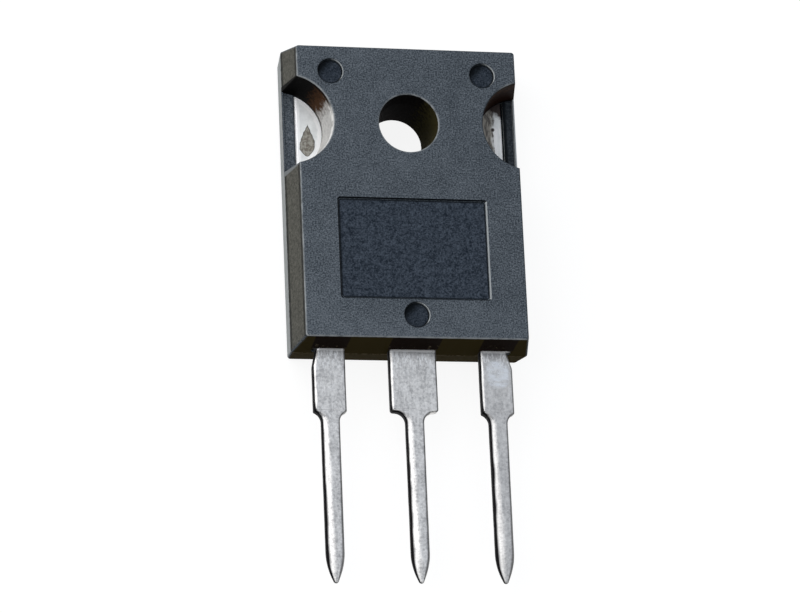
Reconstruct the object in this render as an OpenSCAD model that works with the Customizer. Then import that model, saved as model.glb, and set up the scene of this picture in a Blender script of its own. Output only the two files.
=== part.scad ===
// Three-lead power transistor in a flat moulded case with a metal back.
// The marked front faces +Z, the metal back lies on z = 0, the leads run towards -Y, and the
// mounting hole is centred on x = y = 0. Millimetres.

/* [Moulded body] */
// Width across the parting line
body_w = 15.5; // [14.5:0.1:17]
// Length along the parting line
body_len = 20.35; // [19.5:0.05:22]
// Distance from the mounting hole to the top end
body_top = 5.6; // [5.2:0.1:6.2]
// Thickness from the metal back to the front face
body_t = 4.9; // [4.6:0.1:5.3]
// Height of the parting line above the metal back
parting_z = 2.2; // [2.15:0.05:2.35]
// Lean of the front half's long sides, measured at the front face
side_draft = 0.52; // [0.2:0.02:0.7]
// Lean of the front half's top end
top_draft = 0.5; // [0.2:0.02:0.7]
// Lean of the front half's lead end
foot_draft = 0.36; // [0.2:0.02:0.6]
// Lean of the rear half, measured at the back
rear_draft = 0.18; // [0.05:0.01:0.3]
// Rounding of the upright corners
corner_r = 0.2; // [0.1:0.05:0.6]
// Rounding of the face edges and of the rims
edge_r = 0.1; // [0.04:0.01:0.15]
// Step between the metal back and the plastic round it
back_step = 0.05; // [0.02:0.01:0.1]

/* [Mounting hole] */
// Diameter of the straight part of the hole
hole_d = 3.7; // [3.3:0.1:3.9]
// Widening of the radius at the front mouth
mouth_flare = 0.1; // [0:0.02:0.2]
// Depth of the flared mouth
mouth_depth = 1.5; // [0.5:0.1:2]

/* [Side notches] */
// Radius of a side notch at the front face
notch_r = 2.99; // [2.5:0.01:3.2]
// Distance of a notch's centre outside the body's side
notch_out = 0.15; // [0:0.05:0.5]
// Height of the notches' centres above the hole's centre
notch_y = 0.07; // [-0.5:0.01:0.5]
// How much smaller the notch's radius is at its floor
notch_draft = 0.26; // [0:0.02:0.4]
// Width of the thin lip at a ledge's outer edge
lip_w = 0.1; // [0.06:0.01:0.2]
// Height of that lip above the ledge
lip_h = 0.15; // [0.05:0.01:0.15]
// Width of the groove between a ledge and the tab
groove_w = 0.1; // [0.05:0.01:0.2]
// Depth of that groove below the tab's front
groove_depth = 0.15; // [0.05:0.01:0.3]

/* [Front details] */
// Margin between the label field and the body's sides
label_side = 2.85; // [2.2:0.05:4]
// Margin between the label field and the mounting hole's wall
label_gap = 3.25; // [2.5:0.05:5]
// Margin between the label field and the body's lead end
label_foot = 2.9; // [2.8:0.05:4]
// Depth of the label field
label_depth = 0.15; // [0.05:0.01:0.3]
// Slope width of the label field's walls
label_slope = 0.1; // [0.02:0.01:0.2]
// Diameter of the ejector-pin marks
pin_d = 1.6; // [1:0.1:2]
// Depth of the ejector-pin marks
pin_depth = 0.2; // [0.05:0.01:0.3]
// Distance of the two upper marks from the body's sides
pin_side = 2.74; // [2.5:0.01:3]
// Distance of the two upper marks from the body's top end
pin_top = 2.2; // [1.9:0.05:2.4]
// Distance of the lower mark from the body's lead end
pin_foot = 1.89; // [1.7:0.01:1.95]

/* [Tab] */
// Thickness of the tab
tab_t = 2.0; // [1.8:0.05:2.05]
// Plastic beside the tab on each side
tab_side = 0.85; // [0.7:0.05:1.1]
// Plastic between the tab and the body's top end
tab_top = 1.1; // [0.8:0.05:1.4]
// Plastic between the tab and the body's lead end
tab_foot = 2.75; // [2.6:0.05:3.2]
// Rounding of the tab's corners in plan
tab_corner_r = 0.8; // [0.3:0.1:1.5]
// Rolled edge round the tab's front
tab_roll = 0.15; // [0.05:0.01:0.25]
// Wall of the plastic ring between the mounting hole and the tab
ring_wall = 1.75; // [1.2:0.05:1.9]

/* [Leads] */
// Spacing of the leads
lead_pitch = 5.45; // [5.3:0.05:5.6]
// Thickness of the leads
lead_t = 0.6; // [0.5:0.05:0.7]
// Height of the leads' back above the metal back
lead_z = 2.4; // [2.3:0.05:2.5]
// Width of the outer leads beside the body
outer_w = 2.1; // [1.9:0.05:2.4]
// Width of the middle lead beside the body
middle_w = 3.07; // [2.7:0.01:3.4]
// Width of the slender part of each lead
slim_w = 1.15; // [1:0.05:1.3]
// Length of the wide part outside the body
wide_len = 3.98; // [3.5:0.02:4.4]
// Length of the leads outside the body
lead_len = 15.05; // [13:0.05:20]
// Radius of the hollow fillet under each shoulder
shoulder_r = 0.7; // [0.2:0.05:0.8]
// Rounding of each shoulder's outer corner
shoulder_corner_r = 0.18; // [0.05:0.01:0.25]
// Rounding of the leads' edges
lead_edge = 0.2; // [0.05:0.01:0.22]
// Length of the pointed tip
tip_len = 2; // [0.8:0.1:2.5]
// Width of the tip's end
tip_w = 0.2; // [0.1:0.02:0.6]
// Thickness of the tip's end
tip_t = 0.16; // [0.1:0.01:0.4]
// Length of the bend between the tab and the middle lead
neck_run = 1.2; // [0.9:0.1:1.4]
// Clear space between the tab's end and the bond posts of the outer leads
post_gap = 0.35; // [0.25:0.05:0.5]
// Plastic between a bond post and the body's lead end
post_foot = 0.9; // [0.7:0.05:1.1]
// Plastic between a bond post and the body's side
post_side = 0.7; // [0.5:0.05:0.9]
// How far a bond post reaches inwards from its lead's centre line
post_reach = 1.6; // [1.3:0.1:1.8]

/* [Die and wires] */
// Width of the silicon die
die_w = 7; // [5:0.1:9]
// Thickness of the die
die_t = 0.22; // [0.15:0.01:0.3]
// Space between the die and the tab's lead end
die_foot = 1.4; // [1:0.1:1.8]
// Space between the die and the hole in the tab
die_gap = 1.4; // [1:0.1:2]
// Thickness of the solder under the die
solder_t = 0.06; // [0.04:0.01:0.1]
// How far the solder reaches past the die on each side
solder_rim = 0.15; // [0.05:0.01:0.3]
// Diameter of the source wires
source_wire_d = 0.38; // [0.25:0.01:0.4]
// Diameter of the gate wire
gate_wire_d = 0.2; // [0.13:0.01:0.25]
// Spacing of the source wires on the die and on the post
source_pitch = 0.9; // [0.8:0.05:0.95]
// Distance of the gate wire's foot from the die's side
gate_in = 0.8; // [0.5:0.1:1.5]
// Plastic between the crest of the wires' loops and the label field
wire_cover = 0.6; // [0.4:0.05:0.9]
// Width of a wire's pressed foot as a share of its diameter
foot_wide = 1.4; // [1.2:0.05:1.5]
// Height of a wire's pressed foot as a share of its diameter
foot_high = 0.75; // [0.65:0.05:0.85]
// Length of a wire's pressed foot
foot_len = 0.7; // [0.5:0.05:0.9]

/* [Hidden] */
$fn = 96;
past = 1;                                   // how far a cutter reaches past the surface it cuts
far = 60;                                   // reach of a limiting slab, beyond every piece
body_foot = body_len - body_top;            // from the hole's centre down to the lead end
tab_w = body_w - 2 * tab_side;
tab_up = body_top - tab_top;                // from the hole's centre up to the tab's top end
tab_down = body_foot - tab_foot;            // and down to its lead end
tab_hole_r = hole_d / 2 + ring_wall;
ledge_z = parting_z - lip_h;
label_w = body_w - 2 * label_side;
label_up = hole_d / 2 + label_gap;          // from the hole's centre down to the label field
label_down = body_foot - label_foot;        // and to the field's lower edge
lead_front = lead_z + lead_t;
step_down = body_foot + wide_len;           // where the wide part of a lead ends
tip_down = body_foot + lead_len;            // where a lead ends
post_up = tab_down + post_gap;              // where a bond post begins, below the hole's centre
post_down = body_foot - post_foot;          // and where it ends
die_z = tab_t + solder_t;
die_top = die_z + die_t;
die_up = tab_hole_r + die_gap;              // the die's upper edge, below the hole's centre
die_down = tab_down - die_foot;             // and its lower edge
die_bond = (die_up + 3 * die_down) / 4;     // the wires' places along the die
source_bond = die_w / 4;                    // and the middle source wire's place across it
post_bond = (post_up + post_down) / 2;      // and on the posts
crest_z = body_t - label_depth - wire_cover;
loop_in = foot_len / 4;                     // how far inside its foot a wire's loop ends
loop_on = 1.5;                              // how far it runs on into the foot, in wire diameters
round_steps = [0, 30, 60, 90];
tip_steps = [0, 0.08, 0.2, 0.36, 0.6, 1];    // shares of the tip's length, from its end

// Points of a quarter circle of radius r about [x, y], with signs that choose the quarter.
function quarter(x, y, r, sx, sy) = [
    for (i = [0:3]) let (a = round_steps[sx * sy > 0 ? i : 3 - i])
        [x + sx * r * cos(a), y + sy * r * sin(a)]
];

// A cross-section of width w and thickness t, with rounded edges, standing on y = 0.
function rounded_section(w, t, r) = concat(
    quarter(w / 2 - r, t - r, r, 1, 1), quarter(r - w / 2, t - r, r, -1, 1),
    quarter(r - w / 2, r, r, -1, -1), quarter(w / 2 - r, r, r, 1, -1)
);

// Everything on the inner side of one wall. The wall faces the given direction, stands reach away
// from the axis, and is set in by inset(level) at each level's height.
module inside_wall(direction, reach, heights, insets) {
    wall = [for (i = [0:len(heights) - 1]) [reach - insets[i], heights[i]]];
    rotate([0, 0, direction]) rotate([90, 0, 0])
        linear_extrude(2 * far, center = true)
            polygon(concat([[-far, heights[0]]], wall, [[-far, heights[len(heights) - 1]]]));
}

// A block with leaning walls and rounded upright corners. Each level is
// [height, inset of the sides, inset of the top end, inset of the foot end].
module drafted_block(half_w, up, down, r, levels) {
    heights = [for (v = levels) v[0]];
    walls = [
        for (sx = [1, -1], sy = [1, -1], a = [0, 22.5, 45, 67.5, 90])
            if ((a > 0 || sy > 0) && (a < 90 || sx > 0)) [
                atan2(sy * sin(a), sx * cos(a)),
                (half_w - r) * cos(a) + ((sy > 0 ? up : down) - r) * sin(a) + r,
                [for (v = levels) v[1] * cos(a) + (sy > 0 ? v[2] : v[3]) * sin(a)]
            ]
    ];
    intersection_for (wall = walls)
        inside_wall(wall[0], wall[1], heights, wall[2]);
}

// The moulding's outside, before anything is cut from it.
module case_form() {
    function front(a, lean) = lean + edge_r * (1 - cos(a));
    drafted_block(body_w / 2, body_top, body_foot, corner_r, concat(
        [
            [back_step, rear_draft + edge_r, rear_draft + edge_r, rear_draft + edge_r],
            [back_step + edge_r, rear_draft, rear_draft, rear_draft],
            [parting_z, 0, 0, 0]
        ],
        [for (a = round_steps) [
            body_t - edge_r * (1 - sin(a)), front(a, side_draft), front(a, top_draft), front(a, foot_draft)
        ]]
    ));
}

// Points of a rim that rounds outwards from radius r up to the front face.
function front_rim(r) = [
    for (a = round_steps) [r + edge_r * (1 - cos(a)), body_t - edge_r * (1 - sin(a))]
];

// The mounting hole: a straight bore, a flared front mouth and rounded rims.
module hole_cutter() {
    r = hole_d / 2;
    rim = r + mouth_flare;
    rotate_extrude()
        polygon(concat(
            [
                [0, back_step - past], [r + edge_r, back_step - past], [r + edge_r, back_step],
                [r, back_step + edge_r], [r, body_t - mouth_depth]
            ],
            front_rim(rim),
            [[rim + edge_r, body_t + past], [0, body_t + past]]
        ));
}

// One side notch. It opens the tab's front face and leaves a ledge with a lip outside it.
module notch_cutter() {
    floor_r = notch_r - notch_draft;
    ledge_from = tab_w / 2 + groove_w;
    lip_from = body_w / 2 - lip_w;
    difference() {
        translate([body_w / 2 + notch_out, notch_y, 0])
            rotate_extrude()
                polygon(concat(
                    [[0, tab_t], [floor_r, tab_t]],
                    front_rim(notch_r),
                    [[notch_r + edge_r, body_t + past], [0, body_t + past]]
                ));
        translate([ledge_from, -far / 2, 0]) cube([far, far, ledge_z]);
        translate([lip_from, -far / 2, 0]) cube([far, far, parting_z]);
    }
    intersection() {
        translate([body_w / 2 + notch_out, notch_y, tab_t - groove_depth])
            cylinder(h = groove_depth + past / 2, r = floor_r);
        translate([tab_w / 2 - tab_roll, -far / 2, 0]) cube([groove_w + tab_roll, far, far]);
    }
}

module label_cutter() {
    translate([0, -label_up, 0])
        drafted_block(label_w / 2, 0, label_down - label_up, corner_r, [
            [body_t - label_depth, label_slope, label_slope, label_slope],
            [body_t, 0, 0, 0],
            [body_t + past, 0, 0, 0]
        ]);
}

module pin_mark_cutter() {
    translate([0, 0, body_t - pin_depth]) cylinder(h = pin_depth + past, d = pin_d);
    rotate_extrude()
        polygon(concat([[0, body_t - edge_r]], front_rim(pin_d / 2), [[0, body_t]]));
}

// A bar of lead material along -Y, from one distance below the hole's centre to another.
module lead_bar(w, from, to) {
    translate([0, -from, lead_z]) rotate([90, 0, 0])
        linear_extrude(to - from) polygon(rounded_section(w, lead_t, lead_edge));
}

// Cuts away the stock beside the slender part below one shoulder: a hollow fillet that runs out
// along the shoulder, with the bar's own rounding left on its edges.
module shoulder_cutter() {
    lip = shoulder_r + lead_edge;
    profile = concat(
        [[-past, lead_t + past], [lip, lead_t + past]],
        quarter(lip, lead_t - lead_edge, lead_edge, -1, 1), quarter(lip, lead_edge, lead_edge, -1, -1),
        [[lip, -past], [-past, -past]]
    );
    rotate([0, 0, 90]) rotate_extrude(angle = 90) polygon([for (p = profile) [max(p[0], 0), p[1]]]);
    rotate([90, 0, 90]) linear_extrude(far) polygon(profile);
}

// The end of a lead's wide part, from one distance below the hole's centre to the fillets' ends.
// Each shoulder's outer corner is rounded where the fillet has risen to it.
module wide_part(w, from) {
    fillet_down = step_down + shoulder_r;
    r = shoulder_corner_r;
    run = max(0, shoulder_r + slim_w / 2 + r - w / 2);
    corner_y = r - step_down - shoulder_r + sqrt(shoulder_r * shoulder_r - run * run);
    difference() {
        lead_bar(w, from, fillet_down);
        for (side = [0, 1])
            mirror([side, 0, 0]) {
                translate([slim_w / 2 + shoulder_r, -fillet_down, lead_z]) shoulder_cutter();
                linear_extrude(far)
                    polygon(concat(
                        quarter(w / 2 - r, corner_y, r, 1, -1),
                        [[w / 2 + past, corner_y], [w / 2 + past, -fillet_down - past],
                         [w / 2 - r, -fillet_down - past]]
                    ));
            }
    }
}

// Outline of a bar of the given size that narrows along a curve to its end at the lead's tip, as
// points [across, along].
function tip_outline(size, end) =
    let (
        start = tip_len - tip_down,
        half = [
            for (u = tip_steps) [(size - (size - end) * pow(1 - u, 2)) / 2, u * tip_len - tip_down]
        ]
    ) concat(
        half, [[size, start], [size, -step_down], [-size, -step_down], [-size, start]],
        [for (i = [len(half) - 1:-1:0]) [-half[i][0], half[i][1]]]
    );

// The slender part of a lead, with its pointed tip.
module slim_part() {
    intersection() {
        lead_bar(slim_w, step_down + shoulder_r, tip_down);
        linear_extrude(far) polygon(tip_outline(slim_w, tip_w));
        translate([0, 0, lead_z + lead_t / 2]) rotate([0, 90, 0])
            linear_extrude(far, center = true) polygon(tip_outline(lead_t, tip_t));
    }
}

// A lead from a given distance below the hole's centre to its tip.
module lead(w, from) {
    wide_part(w, from);
    slim_part();
}

// The left outer lead with its bond post, which the moulding locks in place.
module outer_lead() {
    translate([-lead_pitch, 0, 0]) lead(outer_w, post_down);
    post_x = post_side - body_w / 2;
    translate([post_x, -post_down, lead_z])
        cube([post_reach - lead_pitch - post_x, post_down - post_up, lead_t]);
}

// Side view of the bend that lifts the middle lead off the tab, as points [y, z].
function neck_profile() =
    let (
        rise = lead_z - (tab_t - lead_t),
        shift = lead_t / 2 * tan(atan2(rise, neck_run) / 2),
        foot = -tab_down - shift,
        top = foot - neck_run
    ) [
        [foot + shift + lead_t, tab_t], [foot + shift, tab_t], [top - shift, lead_front],
        [-post_down, lead_front], [-post_down, lead_z], [top + shift, lead_z],
        [foot - shift, tab_t - lead_t], [foot + shift + lead_t, tab_t - lead_t]
    ];

module tab_plate() {
    difference() {
        drafted_block(tab_w / 2, tab_up, tab_down, tab_corner_r, concat(
            [[0, 0, 0, 0]],
            [for (a = round_steps)
                let (roll = tab_roll * (1 - cos(a))) [tab_t - tab_roll * (1 - sin(a)), roll, roll, roll]]
        ));
        translate([0, 0, -past]) cylinder(h = tab_t + 2 * past, r = tab_hole_r);
    }
}

module heat_tab() {
    color([0.72, 0.73, 0.74]) {
        tab_plate();
        rotate([90, 0, 90]) linear_extrude(middle_w, center = true) polygon(neck_profile());
        lead(middle_w, post_down);
    }
}

module gate_lead() {
    color([0.7, 0.71, 0.73]) outer_lead();
}

module source_lead() {
    color([0.7, 0.71, 0.73]) mirror([1, 0, 0]) outer_lead();
}

module die_solder() {
    color([0.6, 0.6, 0.62])
        translate([-die_w / 2 - solder_rim, -die_down - solder_rim, tab_t])
            cube([die_w + 2 * solder_rim, die_down - die_up + 2 * solder_rim, solder_t]);
}

module silicon_die() {
    color([0.3, 0.32, 0.38])
        translate([-die_w / 2, -die_down, die_z]) cube([die_w, die_down - die_up, die_t]);
}

// A bond wire from the point a on the die to the point b on a post, both [x, y]: one arched loop
// between two feet that are pressed flat on the surfaces below them.
module bond_wire(a, b, d) {
    span = norm(b - a);
    rise = lead_front - die_top;
    // the loop's ends in the wire's own upright plane, [along, up], a little inside each foot
    p = [loop_in, d / 2];
    q = [span - loop_in, rise + d / 2];
    chord = norm(q - p);
    sag = crest_z - die_top - d / 2 - (p[1] + q[1]) / 2;
    arch_r = (chord * chord / 4 + sag * sag) / (2 * sag);
    half_angle = asin(chord / 2 / arch_r) + asin(loop_on * d / arch_r);
    feet = [[0, 0], [span, rise]];
    translate([a[0], a[1], die_top])
        rotate([0, 0, atan2(b[1] - a[1], b[0] - a[0])])
            difference() {
                union() {
                    translate([p[0], 0, p[1]]) rotate([0, -atan2(q[1] - p[1], q[0] - p[0]), 0])
                        translate([chord / 2, 0, sag - arch_r]) rotate([90, 0, 0])
                            rotate([0, 0, 90 - half_angle]) rotate_extrude(angle = 2 * half_angle)
                                translate([arch_r, 0]) circle(d = d);
                    for (f = feet)
                        translate([f[0] - foot_len / 2, 0, f[1] + d * (foot_high - foot_wide / 2)])
                            rotate([0, 90, 0]) cylinder(h = foot_len, d = d * foot_wide);
                }
                for (f = feet)
                    translate([f[0] - foot_len, -d, f[1] - 2 * d]) cube([2 * foot_len, 2 * d, 2 * d]);
            }
}

module gate_wire() {
    color([0.8, 0.8, 0.8])
        bond_wire([gate_in - die_w / 2, -die_bond], [-lead_pitch, -post_bond], gate_wire_d);
}

module source_wire(index) {
    shift = (index - 2) * source_pitch;
    color([0.8, 0.8, 0.8])
        bond_wire([source_bond + shift, -die_bond], [lead_pitch + shift, -post_bond], source_wire_d);
}
module source_wire_1() { source_wire(1); }
module source_wire_2() { source_wire(2); }
module source_wire_3() { source_wire(3); }

// The moulding, cast round everything inside it.
module moulded_body() {
    color([0.3, 0.33, 0.36])
        difference() {
            case_form();
            hole_cutter();
            notch_cutter();
            mirror([1, 0, 0]) notch_cutter();
            label_cutter();
            for (side = [-1, 1])
                translate([side * (body_w / 2 - pin_side), body_top - pin_top]) pin_mark_cutter();
            translate([0, pin_foot - body_foot]) pin_mark_cutter();
            heat_tab();
            gate_lead();
            source_lead();
            die_solder();
            silicon_die();
            gate_wire();
            for (i = [1:3]) source_wire(i);
        }
}

moulded_body();
heat_tab();
gate_lead();
source_lead();
silicon_die();
die_solder();
gate_wire();
source_wire_1();
source_wire_2();
source_wire_3();
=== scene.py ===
import math

import bmesh
import bpy
from mathutils import Matrix, Vector


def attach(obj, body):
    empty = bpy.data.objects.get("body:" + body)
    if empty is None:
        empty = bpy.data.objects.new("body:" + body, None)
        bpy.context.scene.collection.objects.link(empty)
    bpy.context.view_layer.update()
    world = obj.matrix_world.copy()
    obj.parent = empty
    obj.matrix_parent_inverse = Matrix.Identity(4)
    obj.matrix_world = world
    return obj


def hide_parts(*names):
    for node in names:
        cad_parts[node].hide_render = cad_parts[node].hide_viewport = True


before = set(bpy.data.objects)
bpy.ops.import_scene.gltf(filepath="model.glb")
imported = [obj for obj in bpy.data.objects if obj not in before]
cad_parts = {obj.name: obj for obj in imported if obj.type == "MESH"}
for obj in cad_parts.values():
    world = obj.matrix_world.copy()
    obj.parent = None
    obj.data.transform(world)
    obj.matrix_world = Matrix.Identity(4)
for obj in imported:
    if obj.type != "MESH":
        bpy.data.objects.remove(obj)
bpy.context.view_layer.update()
mm = 0.001
print("stage: frame loaded")


# helpers for node trees: a Num is a number that the tree works out, so formulas read as formulas
class Num:
    def __init__(self, tree, socket):
        self.tree = tree
        self.socket = socket

    def op(self, operation, *others):
        return mathNode(self.tree, operation, self, *others)

    def __add__(self, other):
        return self.op("ADD", other)

    def __sub__(self, other):
        return self.op("SUBTRACT", other)

    def __rsub__(self, other):
        return mathNode(self.tree, "SUBTRACT", other, self)

    def __mul__(self, other):
        return self.op("MULTIPLY", other)

    def __truediv__(self, other):
        return self.op("DIVIDE", other)

    def atMost(self, other):
        return self.op("MINIMUM", other)

    def atLeast(self, other):
        return self.op("MAXIMUM", other)

    def above(self, other):
        return self.op("GREATER_THAN", other)

    def below(self, other):
        return self.op("LESS_THAN", other)

    def within(self, low, high):
        return self.atLeast(low).atMost(high)

    def root(self):
        return self.atLeast(0).op("SQRT")

    def squared(self):
        return self * self

    def size(self):
        return self.op("ABSOLUTE")

    __radd__ = __add__
    __rmul__ = __mul__


def plug(tree, value, socket):
    if isinstance(value, Num):
        value = value.socket
    if isinstance(value, bpy.types.NodeSocket):
        tree.links.new(value, socket)
    else:
        socket.default_value = value


def mathNode(tree, operation, *values):
    node = tree.nodes.new("ShaderNodeMath")
    node.operation = operation
    for socket, value in zip(node.inputs, values):
        plug(tree, value, socket)
    return Num(tree, node.outputs[0])


# how far value has come from low to high, as a share from 0 to 1
def ramp(tree, value, low, high, smooth=False):
    node = tree.nodes.new("ShaderNodeMapRange")
    node.interpolation_type = "SMOOTHSTEP" if smooth else "LINEAR"
    plug(tree, value, node.inputs["Value"])
    plug(tree, low, node.inputs["From Min"])
    plug(tree, high, node.inputs["From Max"])
    return Num(tree, node.outputs["Result"])


def splitVector(tree, vector):
    node = tree.nodes.new("ShaderNodeSeparateXYZ")
    tree.links.new(vector, node.inputs[0])
    return [Num(tree, s) for s in node.outputs]


def joinVector(tree, x, y, z):
    node = tree.nodes.new("ShaderNodeCombineXYZ")
    for socket, value in zip(node.inputs, (x, y, z)):
        plug(tree, value, socket)
    return node.outputs[0]


# the camera stands where the photograph's stood; it was fitted to the outline in the photograph
cameraPlace = {
    "azimuth": 12.784,  # degrees to the left of the front face's normal
    "tilt": 16.468,  # degrees towards the leads
    "roll": -2.508,
    "distance": 237.208 * mm,
    "aim": (0, -12 * mm, 2.5 * mm),
    "shift": (0.574 * mm, -0.369 * mm),
    "focalPixels": 3704.925,
    "imageWidth": 800,
}


def makeCamera(c):
    a, t, r = (math.radians(c[k]) for k in ("azimuth", "tilt", "roll"))
    back = Vector((-math.sin(a) * math.cos(t), -math.sin(t), math.cos(a) * math.cos(t)))
    right = Vector((0, 1, 0)).cross(back).normalized()
    up = back.cross(right)
    turnedRight = right * math.cos(r) + up * math.sin(r)
    turnedUp = up * math.cos(r) - right * math.sin(r)
    data = bpy.data.cameras.new("photoCamera")
    data.sensor_fit = "HORIZONTAL"
    data.sensor_width = 36
    data.lens = data.sensor_width * c["focalPixels"] / c["imageWidth"]
    data.clip_start = 0.01
    camera = bpy.data.objects.new("photoCamera", data)
    place = Vector(c["aim"]) + back * c["distance"]
    place = place - turnedRight * c["shift"][0] - turnedUp * c["shift"][1]
    turn = Matrix((turnedRight, turnedUp, back)).transposed().to_4x4()
    camera.matrix_world = Matrix.Translation(place) @ turn
    bpy.context.scene.collection.objects.link(camera)
    bpy.context.scene.camera = camera


makeCamera(cameraPlace)
print("stage: camera")


# materials
def newMaterial(name):
    material = bpy.data.materials.new(name)
    material.use_nodes = True
    tree = material.node_tree
    shader = tree.nodes["Principled BSDF"]
    return material, tree, shader


def objectPlace(tree):
    coordinates = tree.nodes.new("ShaderNodeTexCoord")
    mapping = tree.nodes.new("ShaderNodeMapping")
    mapping.inputs["Scale"].default_value = (1000, 1000, 1000)  # patterns are in millimetres
    tree.links.new(coordinates.outputs["Object"], mapping.inputs["Vector"])
    return mapping.outputs[0]


def noise(tree, place, scale, detail=2, roughness=0.5, stretch=None):
    if stretch:
        mapping = tree.nodes.new("ShaderNodeMapping")
        mapping.inputs["Scale"].default_value = stretch
        tree.links.new(place, mapping.inputs["Vector"])
        place = mapping.outputs[0]
    node = tree.nodes.new("ShaderNodeTexNoise")
    tree.links.new(place, node.inputs["Vector"])
    node.inputs["Scale"].default_value = scale
    node.inputs["Detail"].default_value = detail
    node.inputs["Roughness"].default_value = roughness
    return Num(tree, node.outputs["Fac"])


def mixColor(tree, share, first, second):
    node = tree.nodes.new("ShaderNodeMix")
    node.data_type = "RGBA"
    plug(tree, share, node.inputs["Factor"])
    for socket, value in ((node.inputs[6], first), (node.inputs[7], second)):
        plug(tree, value if isinstance(value, bpy.types.NodeSocket) else (*value, 1), socket)
    return node.outputs[2]


def addBump(tree, shader, height, strength, distance):
    node = tree.nodes.new("ShaderNodeBump")
    node.inputs["Strength"].default_value = strength
    node.inputs["Distance"].default_value = distance
    plug(tree, height, node.inputs["Height"])
    tree.links.new(node.outputs["Normal"], shader.inputs["Normal"])


def objectNormal(tree):
    coordinates = tree.nodes.new("ShaderNodeTexCoord")
    return splitVector(tree, coordinates.outputs["Normal"])


# what a material's formulas read at a point: its place in millimetres and its face's direction
class Surface:
    def __init__(self, tree):
        self.tree = tree
        self.place = objectPlace(tree)
        self.x, self.y, self.z = splitVector(tree, self.place)
        self.nx, self.ny, self.nz = objectNormal(tree)


def setShader(tree, shader, **values):
    for name, value in values.items():
        plug(tree, value, shader.inputs[name.replace("_", " ")])


leads = {
    # node: (place across, width beside the moulding, its pinch on the left and the right, record slot)
    "gate_lead": (-5.45, 2.1, 0.24, 0.0, "lead"),
    "heat_tab": (0.0, 3.07, 0.0, 0.0, "tab"),
    "source_lead": (5.45, 2.1, 0.0, 0.33, "lead"),
}


moulding = {
    "face": (0.075, 0.089, 0.105),
    "faceDark": (0.028, 0.035, 0.044),
    "faceLight": (0.155, 0.177, 0.202),
    "sunk": (0.065, 0.081, 0.106),
    "sunkDark": (0.009, 0.014, 0.022),
    # painted shade in the ejector marks, on the sunk walls, along the label field's rim and on the
    # right ledge
    "paintedShade": (0.004, 0.006, 0.008),
    "side": (0.102, 0.099, 0.084),
    # painted shade lines on the sides, and a painted reflection on their pale rear half
    "sideShadeLine": (0.010, 0.010, 0.009),
    "rearSideSheen": (0.42, 0.44, 0.44),
    # painted shade on the lead end and over each lead; flash along the parting, partly a painted
    # highlight
    "foot": (0.036, 0.025, 0.004),
    "shadeOverLead": (0.009, 0.005, 0.003),
    "flashSheen": (0.17, 0.14, 0.09),
    # painted shade and painted light on the notch walls
    "notchShade": (0.0005, 0.0003, 0.0003),
    "notchShadeRight": (0.014, 0.005, 0.003),
    "notchBrown": (0.060, 0.026, 0.010),
    "notchPaintedLight": (0.66, 0.65, 0.63),
    "notchRimHighlight": (0.95, 0.94, 0.92),
    # painted shade in the hole
    "holeShade": (0.002, 0.001, 0.001),
    "holeSpeck": (0.034, 0.029, 0.010),
    # painted highlight on edges, rims, lips and lit walls
    "edge": (0.36, 0.38, 0.39),
    "roughness": 0.6,
    "specular": 0.04,
    "grainSize": 0.1,  # all sizes here are in millimetres
    "notchX": 7.9,  # the notches' axes
    "notchY": 0.07,
    "notchR": 2.99,
    "holeR": 1.95,
    "topZ": 4.9,
    "footY": -14.75,
    "footLean": 0.133,
    "partingZ": 2.2,
    "leadTopZ": 3.0,
    "labelHalf": 4.9,
    "labelTop": -5.1,
    "labelFoot": -11.85,
    "pins": ((-5.01, 3.4), (5.01, 3.4), (0, -12.86)),
    "pinR": 0.9,
    "glint": (6.97, 2.74),  # a small painted glint on the right notch's rim
    "glintColor": (0.85, 0.85, 0.83),
    # the pairs below say where a look starts and where it is complete
    "glintR": (0.14, 0.08),
    "lighterY": (-11.5, -14),
    "sunkBelow": (4.87, 4.82),
    "sunkAbove": (4.4, 4.5),
    "pinShade": (0.70, 0.78),
    "ledgeBelow": (2.3, 2.2),
    "ledgeAbove": (1.6, 1.8),
    "ledgeShade": (7.25, 7.15),
    "lipX": (7.60, 7.65),
    "lowLine": (2.62, 2.50),
    "highLine": (4.46, 4.56),
    "specksBelow": (3.9, 3.6),
    "notchAbove": (1.95, 2.1),
    "upperBrownZ": (3.9, 4.9),
    "awayFromSide": (7.1, 6.8),
    "notchRimZ": (4.25, 4.5),
    "notchFootLine": (2.32, 2.16),
    "notchRimLine": (4.5, 4.62),
    "lowCornerX": (7.15, 7.3),
    "lowCornerY": (0.0, -0.5),
    "glintAbove": (4.7, 4.8),
}


# the front face's grain, with painted light making it a little lighter towards its left side and its
# foot
def paintFace(s, c):
    coarse = noise(s.tree, s.place, 0.45, 2)
    # painted light: lighter towards the left side and the foot
    slope = s.x * -0.0022 + ramp(s.tree, s.y, *c["lighterY"]) * 0.032
    mottle = (s.fine + (coarse - 0.5) * 0.10 + (s.patch - 0.5) * 0.14 + slope).within(0, 1)
    color = mixColor(s.tree, ramp(s.tree, mottle, 0.34, 0.50), c["faceDark"], c["face"])
    return mixColor(s.tree, ramp(s.tree, mottle, 0.50, 0.68), color, c["faceLight"])
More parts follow.
